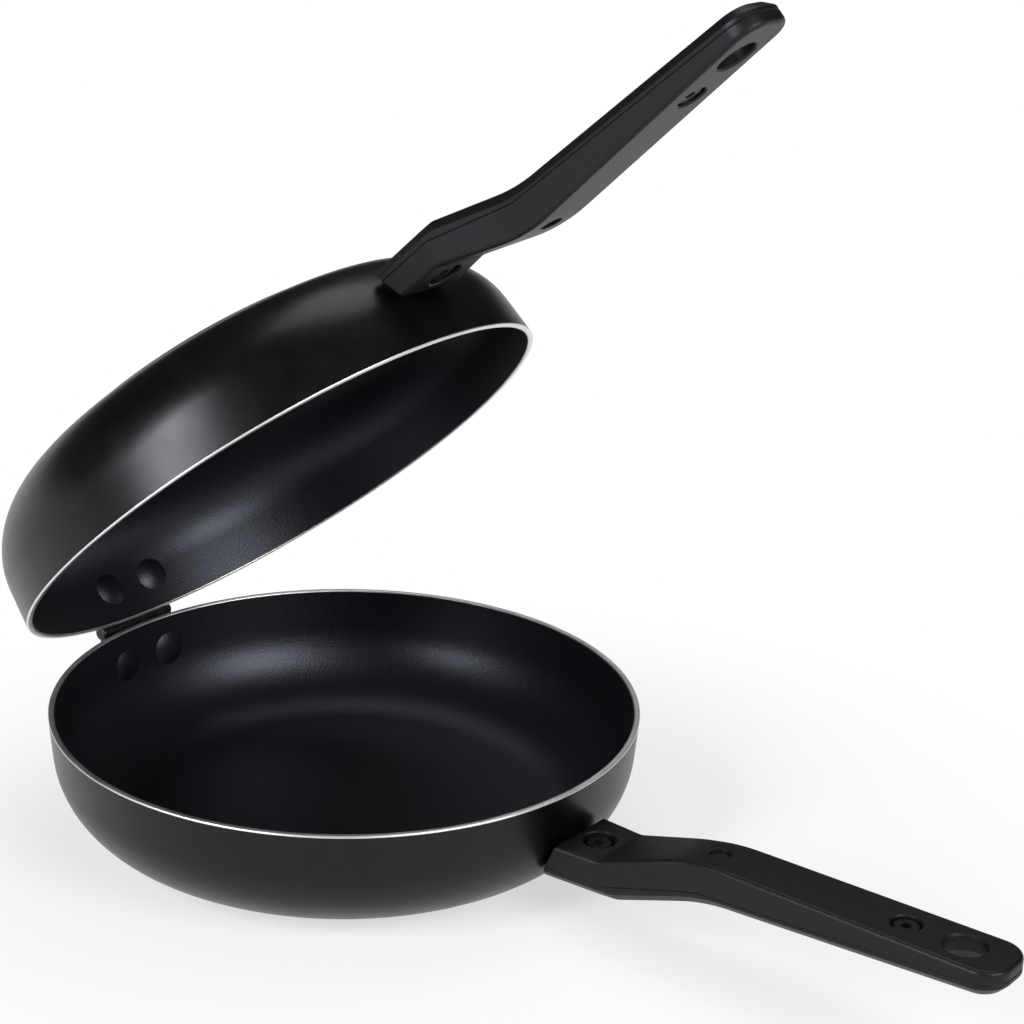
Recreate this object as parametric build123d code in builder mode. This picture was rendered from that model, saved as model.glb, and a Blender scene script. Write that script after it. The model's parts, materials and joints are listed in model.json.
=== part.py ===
"""Double sided flip pan: two shallow round pans hinged rim to rim, each with a cranked handle.

Millimetres, +Z up. The origin is the centre of the lower pan's flat foot, +X runs along its handle.
Every piece of a pan is drawn in that pan's own frame: foot centre at the origin, rim upward, handle
along +X. The lower frame is the world frame; the upper frame is turned over and swung open.
"""

import os
from math import cos, radians, sin, sqrt, tan

from build123d import *

os.makedirs("parts", exist_ok=True)

# Pan shell
LOWER_RIM_R = 120.0  # outer radius of the lower rim
PAN_H = 52.0  # foot to rim
WALL_T = 2.4  # pressed wall, the width of the bare rim
WALL_DRAFT = 5.0  # degrees off vertical
CORNER_R = 36.0  # outer corner between foot and wall
RIM_EDGE = 0.4  # broken edges of the turned rim

# The upper rim drops inside the lower rim when the pans are shut
NEST_DEPTH = 1.5
NEST_GAP = 0.45

# Foot disc bonded under each pan, with turned rings
FOOT_T = 2.0
FOOT_INSET = 38.0  # rim radius to foot radius
FOOT_EDGE = 0.6
RING_RADII = (72.0, 58.0, 40.0, 22.0)  # from the outermost in, because each ring's sketch fills what lies inside it
RING_W = 2.2
RING_DEPTH = 0.6

# Hinge
BARREL_R = 3.5
BARREL_CLEAR = 0.7  # barrel to lower rim
LEAF_T = 2.0
LEAF_W = 37.0
LEAF_DROPS = (24.6, 5.2)  # foot and top edge of the leaf below the rim
LEAF_CORNER_R = 5.0
# Side outline of a barrel's arm from the pin's axis; it stops short of the other rim
ARM_LINE = ((3.5, -1.45), (-2.4, -0.5), (-0.4, -6.65), (2.8, -8.65))
ARM_ROOT = 6.0  # how far the arm is drawn inside the rim before the wall cuts it
MID_BARREL_HALF = 9.0  # half length of the upper leaf's barrel
BARREL_END_GAP = 0.3
PIN_R = 2.0
PIN_RUN = 0.05  # running clearance of the upper barrel on the pin
PIN_HEAD_R = 3.1
PIN_HEAD_T = 1.5
PIN_HEAD_EDGE = 1.2
CLIP_R = 3.2
CLIP_T = 1.0
CLIP_SLOT = 3.0
RIVET_Y = 12.5
RIVET_DROP = 15.2  # below the rim
RIVET_R = 2.6
RIVET_HEAD_R = 7.2
RIVET_HEAD_T = 1.9
RIVET_HEAD_EDGE = 0.3
RIVET_DOME_R = 17.0
RIVET_TAIL_R = 3.9
RIVET_TAIL_TOP_R = 2.8
RIVET_TAIL_T = 1.5
RIVET_TAIL_EDGE = 0.75
OPEN_ANGLE = 43.4  # between the two rims

# Handle seen from the side: steps out from the lower rim's radius and down from the rim
TOP_RUN = ((19.0, 19.3), (59.0, 5.8), (183.5, 5.8))
JOINT_RUN = ((22.0, 29.0), (62.0, 18.4), (183.5, 10.5))
UNDER_RUN = ((26.0, 34.5), (65.0, 22.6), (183.5, 15.6))
ROOT_R = 6.0
CREST_R = 26.0
# Handle seen from above: steps out from the lower rim's radius and half widths
PLAN_RUN = ((-6.6, 16.4), (19.0, 15.1), (54.5, 11.4), (77.0, 12.1), (116.0, 12.7), (183.5, 13.7))
WAIST_R = 40.0  # at the narrowest station
TIP_R = 10.5
TOP_EDGE_R = 1.3
UNDER_EDGE_R = 3.4

# Boss and tang that carry the handle
BOSS_REACH = 1.0  # boss face beyond the lower rim's radius
BOSS_W = 21.0
BOSS_DROPS = (32.0, 23.4)  # underside and top below the rim
BOSS_CLEAR = 0.25
WELD_GAP = 0.02
TANG_W = 14.0
TANG_T = 2.5
TANG_REACH = 126.0
TANG_CLEAR = 0.2

# Fastenings: two screws down through both halves of each handle, as steps out from the rim
HEAD_SCREW_RUN = 9.0
TAIL_SCREW_RUN = 141.0
SCREW_R = 2.45
SCREW_HOLE_R = 2.75
SCREW_HEAD_R = 4.6
SCREW_HEAD_T = 2.8
SOCKET_R = 2.1
SOCKET_DEPTH = 1.8
WASHER_R = 5.0
WASHER_T = 1.0
HEAD_POCKET_R = 6.5
TAIL_POCKET_R = 5.6
POCKET_DEPTH = 5.0
NUT_APOTHEM = 4.0
NUT_T = 2.6
NUT_POCKET_R = 5.2
NUT_POCKET_DEPTH = 3.0
TAIL_SLOT_L = 16.0  # the tail nut's pocket is drawn out along the handle

# Other marks on the handle
DIMPLE_RUN = 63.0
DIMPLE_R = 4.3
DIMPLE_DEPTH = 1.0
HANG_RUN = 164.0
HANG_R = 7.5
HANG_FLARE_R = 9.6

OVERLAP = 1.0  # how far a cutting outline runs past what it cuts, and a selector past its edge

UPPER_RIM_R = LOWER_RIM_R - WALL_T / cos(radians(WALL_DRAFT)) - NEST_GAP
MIRROR_Z = PAN_H - NEST_DEPTH / 2
HINGE_X = LOWER_RIM_R + BARREL_CLEAR + BARREL_R
BARREL_HALF = LEAF_W / 2
LEAF_Z = [PAN_H - drop for drop in LEAF_DROPS]
RIVET_Z = PAN_H - RIVET_DROP
BOSS_Z = [PAN_H - drop for drop in BOSS_DROPS]
BOSS_FACE_X = LOWER_RIM_R + BOSS_REACH
TANG_END_X = LOWER_RIM_R + TANG_REACH
HEAD_SCREW_X = LOWER_RIM_R + HEAD_SCREW_RUN
TAIL_SCREW_X = LOWER_RIM_R + TAIL_SCREW_RUN
DIMPLE_X = LOWER_RIM_R + DIMPLE_RUN
HANG_X = LOWER_RIM_R + HANG_RUN
TOP_LINE, JOINT_LINE, UNDER_LINE = (
    [(LOWER_RIM_R + step, PAN_H - drop) for step, drop in run] for run in (TOP_RUN, JOINT_RUN, UNDER_RUN)
)
PLAN_LINE = [(LOWER_RIM_R + step, half) for step, half in PLAN_RUN]
WAIST_X = min(PLAN_LINE, key=lambda station: station[1])[0]
HEAD_X, TIP_X = PLAN_LINE[0][0], PLAN_LINE[-1][0]  # the head's end leans out to the rim's radius at its top

# Frames of the two pans
SHUT = Plane(origin=(0, 0, 2 * MIRROR_Z), x_dir=(1, 0, 0), z_dir=(0, 0, -1))
SWING = (
    Location((-HINGE_X, 0, MIRROR_Z))
    * Location((0, 0, 0), (0, -OPEN_ANGLE, 0))
    * Location((HINGE_X, 0, -MIRROR_Z))
)
LOWER = Location()
UPPER = SWING * SHUT.location


def save(body, node, place=LOWER):
    """Write a piece as its own file, put where its pan stands."""
    body = body.moved(place)
    body.label = node
    export_step(body, f"parts/{node}.step")


def meridian(rim_r, inset):
    """Foot end, middle of the corner, wall start and rim end of a pan face set in by inset."""
    lean = radians(WALL_DRAFT)
    wall_z = FOOT_T + CORNER_R * (1 - sin(lean))
    mid_r = rim_r - (PAN_H - wall_z) * tan(lean) - CORNER_R * cos(lean)
    mid_z = FOOT_T + CORNER_R
    turn = CORNER_R - inset
    half = radians(45 + WALL_DRAFT / 2)
    return (
        (mid_r, mid_z - turn),
        (mid_r + turn * cos(half), mid_z - turn * sin(half)),
        (mid_r + turn * cos(lean), mid_z - turn * sin(lean)),
        (rim_r - inset / cos(lean), PAN_H),
    )


def full_pan(rim_r, outset=0.0):
    """The pan as a filled body, grown by outset; pieces are fitted to its outside."""
    flat, corner, wall, rim = meridian(rim_r, -outset)
    with BuildPart() as body:
        with BuildSketch(Plane.XZ):
            with BuildLine():
                Polyline((0, PAN_H), (0, flat[1]), flat)
                ThreePointArc(flat, corner, wall)
                Polyline(wall, rim, (0, PAN_H))
            make_face()
        revolve(axis=Axis.Z)
    return body.part


def rivet_planes(rim_r):
    """Planes on the outside of the wall, one for each hinge rivet, facing outward."""
    lean = radians(WALL_DRAFT)
    wall_r = rim_r - (PAN_H - RIVET_Z) * tan(lean)
    along = sqrt(wall_r**2 - RIVET_Y**2)
    return [
        Plane(
            origin=(-along, y, RIVET_Z),
            x_dir=(y, along, 0),
            z_dir=(-along * cos(lean), y * cos(lean), -wall_r * sin(lean)),
        )
        for y in (-RIVET_Y, RIVET_Y)
    ]


def z_on(line, x):
    """Height of a side outline at a station."""
    first, rise, last = line
    if x <= first[0]:
        return first[1]
    a, b = (first, rise) if x <= rise[0] else (rise, last)
    return a[1] + (b[1] - a[1]) * (x - a[0]) / (b[0] - a[0])


def band(low, high, x_from, x_to):
    """Corners of the face between two side outlines, each given as a line and a lift."""
    (low_line, low_lift), (high_line, high_lift) = low, high
    under = [x_from, *(p[0] for p in low_line if x_from < p[0] < x_to), x_to]
    over = [x_to, *(p[0] for p in reversed(high_line) if x_from < p[0] < x_to), x_from]
    return [(x, z_on(low_line, x) + low_lift) for x in under] + [
        (x, z_on(high_line, x) + high_lift) for x in over
    ]


def rim_of_handle(body, top):
    """Edges round the top or the underside of a handle, without its upright corners."""
    chosen = []
    for edge in body.edges():
        mid, run = edge @ 0.5, (edge @ 1) - (edge @ 0)
        middle = (z_on(TOP_LINE, mid.X) + z_on(UNDER_LINE, mid.X)) / 2
        across = abs(run.X) < 0.5 and mid.X < TIP_X - OVERLAP
        upright = abs(run.Z) > max(4, abs(run.X))
        if not across and not upright and (mid.Z > middle) == top:
            chosen.append(edge)
    return chosen


# The whole outside of a handle, before it is parted into two halves
with BuildPart() as handle:
    with BuildSketch(Plane.XZ) as side:
        with BuildLine():
            Polyline(
                (HEAD_X, UNDER_LINE[0][1]),
                *UNDER_LINE,
                *reversed(TOP_LINE),
                (LOWER_RIM_R, TOP_LINE[0][1]),
                close=True,
            )
        make_face()
        for corner, radius in ((0, ROOT_R), (1, CREST_R)):
            span = (TOP_LINE[corner][0] - OVERLAP, UNDER_LINE[corner][0] + OVERLAP)
            fillet(side.vertices().filter_by_position(Axis.X, *span), radius)
    extrude(amount=PLAN_LINE[0][1] + OVERLAP, both=True)
    with BuildSketch(Plane.XY) as plan:
        with BuildLine():
            Polyline(*PLAN_LINE, *((x, -y) for x, y in reversed(PLAN_LINE)), close=True)
        make_face()
        for x, radius in ((TIP_X, TIP_R), (WAIST_X, WAIST_R)):
            fillet(plan.vertices().filter_by_position(Axis.X, x - OVERLAP, x + OVERLAP), radius)
    extrude(amount=PAN_H, mode=Mode.INTERSECT)
    fillet(rim_of_handle(handle, True), TOP_EDGE_R)
    fillet(rim_of_handle(handle, False), UNDER_EDGE_R)

with BuildPart() as boss_socket:
    with BuildSketch(Plane.YZ):
        with Locations((0, sum(BOSS_Z) / 2)):
            Rectangle(BOSS_W + 2 * BOSS_CLEAR, BOSS_Z[1] - BOSS_Z[0] + 2 * BOSS_CLEAR)
    extrude(amount=BOSS_FACE_X + BOSS_CLEAR)

# Half of the handle that faces the other pan: screw pockets, dimple and hanging hole
with BuildPart() as inner_half:
    add(handle)
    with BuildSketch(Plane.XZ):
        Polygon(*band((JOINT_LINE, 0), (TOP_LINE, OVERLAP), HEAD_X - OVERLAP, TIP_X + OVERLAP), align=None)
    extrude(amount=PLAN_LINE[0][1] + OVERLAP, both=True, mode=Mode.INTERSECT)
    with BuildSketch(Plane.XZ):
        channel = band(
            (JOINT_LINE, -OVERLAP), (JOINT_LINE, TANG_T + TANG_CLEAR), HEAD_X - OVERLAP, TANG_END_X + OVERLAP
        )
        Polygon(*channel, align=None)
    extrude(amount=TANG_W / 2 + TANG_CLEAR, both=True, mode=Mode.SUBTRACT)
    add(boss_socket, mode=Mode.SUBTRACT)
    for x, pocket_r in ((HEAD_SCREW_X, HEAD_POCKET_R), (TAIL_SCREW_X, TAIL_POCKET_R)):
        with Locations((x, 0, z_on(TOP_LINE, x))):
            CounterBoreHole(SCREW_HOLE_R, pocket_r, POCKET_DEPTH, depth=PAN_H)
    with Locations((DIMPLE_X, 0, TOP_LINE[1][1])):
        Hole(DIMPLE_R, depth=DIMPLE_DEPTH)
    with Locations((HANG_X, 0, TIP_X)):
        Hole(HANG_R, depth=TIP_X)

# Outer half of the handle: nut pockets and the flare of the hanging hole
with BuildPart() as outer_half:
    add(handle)
    with BuildSketch(Plane.XZ):
        Polygon(*band((UNDER_LINE, -OVERLAP), (JOINT_LINE, 0), HEAD_X - OVERLAP, TIP_X + OVERLAP), align=None)
    extrude(amount=PLAN_LINE[0][1] + OVERLAP, both=True, mode=Mode.INTERSECT)
    add(boss_socket, mode=Mode.SUBTRACT)
    for x in (HEAD_SCREW_X, TAIL_SCREW_X):
        with Locations((x, 0, 0)):
            Cylinder(SCREW_HOLE_R, TIP_X, mode=Mode.SUBTRACT)
        with BuildSketch(Plane.XY.offset(z_on(UNDER_LINE, x) + NUT_POCKET_DEPTH)):
            with Locations((x, 0)):
                Circle(NUT_POCKET_R)
                if x == TAIL_SCREW_X:
                    SlotOverall(TAIL_SLOT_L, 2 * NUT_POCKET_R)
        extrude(amount=-PAN_H, mode=Mode.SUBTRACT)
    with Locations((HANG_X, 0, z_on(UNDER_LINE, HANG_X))):
        Cone(
            HANG_FLARE_R,
            HANG_R,
            z_on(JOINT_LINE, HANG_X) - z_on(UNDER_LINE, HANG_X),
            align=(Align.CENTER, Align.CENTER, Align.MIN),
            mode=Mode.SUBTRACT,
        )
        Cylinder(HANG_R, PAN_H, mode=Mode.SUBTRACT)

# The two screws of a handle, their washers and nuts
with BuildPart() as screws:
    for x in (HEAD_SCREW_X, TAIL_SCREW_X):
        seat_z = z_on(TOP_LINE, x) - POCKET_DEPTH + WASHER_T
        nut_z = z_on(UNDER_LINE, x) + NUT_POCKET_DEPTH - NUT_T
        with Locations((x, 0, seat_z)):
            Cylinder(SCREW_HEAD_R, SCREW_HEAD_T, align=(Align.CENTER, Align.CENTER, Align.MIN))
            Cylinder(SCREW_R, seat_z - nut_z, align=(Align.CENTER, Align.CENTER, Align.MAX))
        with BuildSketch(Plane.XY.offset(seat_z + SCREW_HEAD_T)):
            with Locations((x, 0)):
                RegularPolygon(SOCKET_R, 6)
        extrude(amount=-SOCKET_DEPTH, mode=Mode.SUBTRACT)

with BuildPart() as washers:
    for x in (HEAD_SCREW_X, TAIL_SCREW_X):
        with BuildSketch(Plane.XY.offset(z_on(TOP_LINE, x) - POCKET_DEPTH)):
            with Locations((x, 0)):
                Circle(WASHER_R)
                Circle(SCREW_HOLE_R, mode=Mode.SUBTRACT)
        extrude(amount=WASHER_T)

with BuildPart() as nuts:
    for x in (HEAD_SCREW_X, TAIL_SCREW_X):
        with BuildSketch(Plane.XY.offset(z_on(UNDER_LINE, x) + NUT_POCKET_DEPTH - NUT_T)):
            with Locations((x, 0)):
                RegularPolygon(NUT_APOTHEM, 6, major_radius=False)
                Circle(SCREW_R, mode=Mode.SUBTRACT)
        extrude(amount=NUT_T)

for name, place, rim_r, arm_spans in (
    (
        "lower",
        LOWER,
        LOWER_RIM_R,
        ((-BARREL_HALF, -MID_BARREL_HALF - BARREL_END_GAP), (MID_BARREL_HALF + BARREL_END_GAP, BARREL_HALF)),
    ),
    ("upper", UPPER, UPPER_RIM_R, ((-MID_BARREL_HALF, MID_BARREL_HALF),)),
):
    outside = full_pan(rim_r)
    wall_grown = full_pan(rim_r, LEAF_T)
    bore_r = PIN_R if name == "lower" else PIN_R + PIN_RUN

    # Pressed shell with a bare turned rim
    with BuildPart() as pan:
        with BuildSketch(Plane.XZ):
            outer, inner = meridian(rim_r, 0), meridian(rim_r, WALL_T)
            with BuildLine():
                Polyline((0, inner[0][1]), (0, outer[0][1]), outer[0])
                ThreePointArc(*outer[:3])
                Polyline(outer[2], outer[3], inner[3], inner[2])
                ThreePointArc(*reversed(inner[:3]))
                Line(inner[0], (0, inner[0][1]))
            make_face()
        revolve(axis=Axis.Z)
        chamfer(pan.faces().sort_by(Axis.Z)[-1].edges(), RIM_EDGE)
        for seat in rivet_planes(rim_r):
            with BuildSketch(seat):
                Circle(RIVET_R)
            extrude(amount=CORNER_R / 2, both=True, mode=Mode.SUBTRACT)
    save(pan.part, f"{name}_pan", place)

    with BuildPart() as foot:
        Cylinder(rim_r - FOOT_INSET, FOOT_T, align=(Align.CENTER, Align.CENTER, Align.MIN))
        chamfer(foot.faces().sort_by(Axis.Z)[0].edges(), FOOT_EDGE)
        with BuildSketch(Plane.XY):
            for ring_r in RING_RADII:
                Circle(ring_r + RING_W / 2)
                Circle(ring_r - RING_W / 2, mode=Mode.SUBTRACT)
        extrude(amount=RING_DEPTH, mode=Mode.SUBTRACT)
    save(foot.part, f"{name}_foot", place)

    # Boss welded to the wall, with the tang that runs down inside the handle
    with BuildPart() as tang:
        with BuildSketch(Plane.YZ):
            with Locations((0, sum(BOSS_Z) / 2)):
                Rectangle(BOSS_W, BOSS_Z[1] - BOSS_Z[0])
        extrude(amount=BOSS_FACE_X)
        with BuildSketch(Plane.XZ):
            Polygon(*band((JOINT_LINE, 0), (JOINT_LINE, TANG_T), BOSS_FACE_X - OVERLAP, TANG_END_X), align=None)
        extrude(amount=TANG_W / 2, both=True)
        add(full_pan(rim_r, WELD_GAP), mode=Mode.SUBTRACT)
        with Locations((HEAD_SCREW_X, 0, PAN_H)):
            Hole(SCREW_HOLE_R, depth=PAN_H)
    save(tang.part, f"{name}_tang", place)

    save(inner_half.part, f"{name}_handle_inner", place)
    save(outer_half.part, f"{name}_handle_outer", place)
    save(screws.part, f"{name}_handle_screws", place)
    save(washers.part, f"{name}_handle_washers", place)
    save(nuts.part, f"{name}_handle_nuts", place)

    # Leaf wrapped on the wall, with arms up to its barrels
    with BuildPart() as leaf:
        add(wall_grown)
        with BuildSketch(Plane.YZ):
            with Locations((0, sum(LEAF_Z) / 2)):
                RectangleRounded(LEAF_W, LEAF_Z[1] - LEAF_Z[0], LEAF_CORNER_R)
        extrude(amount=-2 * HINGE_X, mode=Mode.INTERSECT)
        for y_from, y_to in arm_spans:
            with BuildSketch(Plane.XZ.offset(-y_to)):
                arm = [(-HINGE_X + dx, MIRROR_Z + dz) for dx, dz in ARM_LINE]
                arm += [(-rim_r + ARM_ROOT, arm[-1][1]), (-rim_r + ARM_ROOT, arm[0][1])]
                Polygon(*arm, align=None)
                with Locations((-HINGE_X, MIRROR_Z)):
                    Circle(BARREL_R)
            extrude(amount=y_to - y_from)
        with BuildSketch(Plane.XZ):
            with Locations((-HINGE_X, MIRROR_Z)):
                Circle(bore_r)
        extrude(amount=LEAF_W, both=True, mode=Mode.SUBTRACT)
        add(outside, mode=Mode.SUBTRACT)
        for seat in rivet_planes(rim_r):
            with BuildSketch(seat):
                Circle(RIVET_R)
            extrude(amount=CORNER_R / 2, both=True, mode=Mode.SUBTRACT)
    save(leaf.part, f"{name}_hinge_leaf", place)

    # Rivets through wall and leaf: broad domed heads inside the pan, formed tails outside
    with BuildPart() as rivets:
        for seat in rivet_planes(rim_r):
            with BuildSketch(Plane(origin=seat.origin, x_dir=seat.x_dir, z_dir=seat.y_dir)):
                top, end = WALL_T + RIVET_HEAD_T, -LEAF_T - RIVET_TAIL_T
                with BuildLine():
                    Line((0, end), (0, top))
                    RadiusArc((0, top), (RIVET_HEAD_R, WALL_T + RIVET_HEAD_EDGE), RIVET_DOME_R)
                    Polyline(
                        (RIVET_HEAD_R, WALL_T + RIVET_HEAD_EDGE),
                        (RIVET_HEAD_R, WALL_T / 2),
                        (RIVET_R, WALL_T / 2),
                        (RIVET_R, -LEAF_T / 2),
                        (RIVET_TAIL_R, -LEAF_T / 2),
                        (RIVET_TAIL_R, -LEAF_T - RIVET_TAIL_EDGE),
                        (RIVET_TAIL_TOP_R, end),
                        (0, end),
                    )
                make_face()
            revolve(axis=Axis(seat.origin, seat.z_dir))
        add(pan, mode=Mode.SUBTRACT)
        add(leaf, mode=Mode.SUBTRACT)
    save(rivets.part, f"{name}_hinge_rivets", place)

# Hinge pin: headed at one end, grooved for a clip at the other
PIN_END_Y = BARREL_HALF + 2 * CLIP_T + BARREL_END_GAP
with BuildPart() as pin:
    with BuildSketch(Plane.XZ.offset(-PIN_END_Y)):
        with Locations((-HINGE_X, MIRROR_Z)):
            Circle(PIN_R)
    extrude(amount=PIN_END_Y + BARREL_HALF)
    with BuildSketch(Plane.XZ.offset(BARREL_HALF)):
        with Locations((-HINGE_X, MIRROR_Z)):
            Circle(PIN_HEAD_R)
    extrude(amount=PIN_HEAD_T)
    fillet(pin.faces().sort_by(Axis.Y)[0].edges(), PIN_HEAD_EDGE)
save(pin.part, "hinge_pin")

with BuildPart() as clip:
    with BuildSketch(Plane.XZ.offset(-BARREL_HALF - CLIP_T)):
        with Locations((-HINGE_X, MIRROR_Z)):
            Circle(CLIP_R)
            Circle(PIN_R, mode=Mode.SUBTRACT)
        with Locations((-HINGE_X - CLIP_R, MIRROR_Z)):
            Rectangle(2 * CLIP_R, CLIP_SLOT, mode=Mode.SUBTRACT)
    extrude(amount=CLIP_T)
save(clip.part, "hinge_clip")
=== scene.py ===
"""Looks of a double sided flip pan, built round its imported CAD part.

Lengths in the classes are millimetres in a pan's own frame: foot centre at the origin, rim upward,
handle along +X. Each mesh is turned into metres and put where its pan stands.
"""

import json
import logging
import math
from dataclasses import dataclass, field
from enum import Enum

import bmesh
import bpy
from mathutils import Euler, Matrix, Vector

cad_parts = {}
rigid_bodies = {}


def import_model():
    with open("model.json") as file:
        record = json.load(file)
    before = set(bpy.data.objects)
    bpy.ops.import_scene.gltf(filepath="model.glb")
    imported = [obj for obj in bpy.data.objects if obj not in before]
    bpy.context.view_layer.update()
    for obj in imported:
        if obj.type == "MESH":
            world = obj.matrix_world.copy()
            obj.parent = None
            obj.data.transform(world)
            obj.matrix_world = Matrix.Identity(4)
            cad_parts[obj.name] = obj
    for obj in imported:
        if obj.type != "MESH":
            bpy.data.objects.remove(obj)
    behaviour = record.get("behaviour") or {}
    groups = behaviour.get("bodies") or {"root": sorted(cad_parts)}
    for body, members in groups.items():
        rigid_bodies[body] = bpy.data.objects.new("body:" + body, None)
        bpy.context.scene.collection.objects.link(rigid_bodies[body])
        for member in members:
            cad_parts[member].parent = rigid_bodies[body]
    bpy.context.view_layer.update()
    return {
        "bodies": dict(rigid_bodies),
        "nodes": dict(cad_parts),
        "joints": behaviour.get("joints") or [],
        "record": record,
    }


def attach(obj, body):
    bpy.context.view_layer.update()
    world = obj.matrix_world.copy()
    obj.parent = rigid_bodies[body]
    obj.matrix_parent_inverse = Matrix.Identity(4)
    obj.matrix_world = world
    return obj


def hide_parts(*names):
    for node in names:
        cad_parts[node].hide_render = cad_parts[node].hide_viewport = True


LOG = logging.getLogger("flip_pan")
MM = 0.001  # a millimetre in metres

Point = tuple[float, float, float]
Corner = tuple[float, float, float]  # two coordinates of an outline's corner and its rounding radius
Mesh = bmesh.types.BMesh
Tree = bpy.types.NodeTree
Socket = bpy.types.NodeSocket


class Side(Enum):
    """The two pans."""

    LOWER = "lower"
    UPPER = "upper"


# --------------------------------------------------------------------------- frames


@dataclass(frozen=True)
class HingeFrame:
    """Where the two pans stand: the lower one on its foot, the upper one turned over and swung open.

    Attributes:
        pin_x: station of the hinge pin.
        parting_z: height of the pin, and of the plane between the shut pans.
        open_degrees: angle between the two rims.
    """

    pin_x: float = -124.2
    parting_z: float = 51.25
    open_degrees: float = 43.4

    def place(self, side: Side) -> Matrix:
        """Give the transform from a pan's own frame, in millimetres, to the row's, in metres.

        Args:
            side: which pan.

        Returns:
            The transform, scale included.
        """
        scale = Matrix.Scale(MM, 4)
        if side is Side.LOWER:
            return scale
        shut = Matrix.Translation((0, 0, 2 * self.parting_z)) @ Matrix.Rotation(math.pi, 4, "X")
        pin = Vector((self.pin_x, 0, self.parting_z))
        swing = Matrix.Rotation(-math.radians(self.open_degrees), 4, "Y")
        return scale @ Matrix.Translation(pin) @ swing @ Matrix.Translation(-pin) @ shut

    def unplace(self, side: Side) -> tuple[Vector, Euler]:
        """Undo place, for coordinates that stay in metres.

        Args:
            side: which pan.

        Returns:
            The shift and the turn that carry a point of the row's frame to the pan's own.
        """
        place = self.place(side)
        turn = (place.to_3x3() * (1 / MM)).inverted()
        shift = -(turn @ place.to_translation())
        return shift, turn.to_euler("XYZ")


# --------------------------------------------------------------------------- finishes

TONE_DETAIL = 3.0  # octaves of the mottling noise
TONE_LEVELS = (0.35, 0.68)  # noise at which a finish has its dark and its light tone
GLOSS_LEVELS = (0.3, 0.7)  # noise at which a finish has its least and its most roughness
WAVE_PERIOD = 0.314  # distance between the wave texture's rings at a scale of 1
WAVE_WOBBLE = 0.4
WAVE_DETAIL = 2.0


@dataclass(frozen=True)
class Grain:
    """One layer of fine surface noise.

    Attributes:
        scale: noise cells per metre.
        detail: octaves of the noise.
        height: bump height in metres.
    """

    scale: float
    detail: float
    height: float


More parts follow.
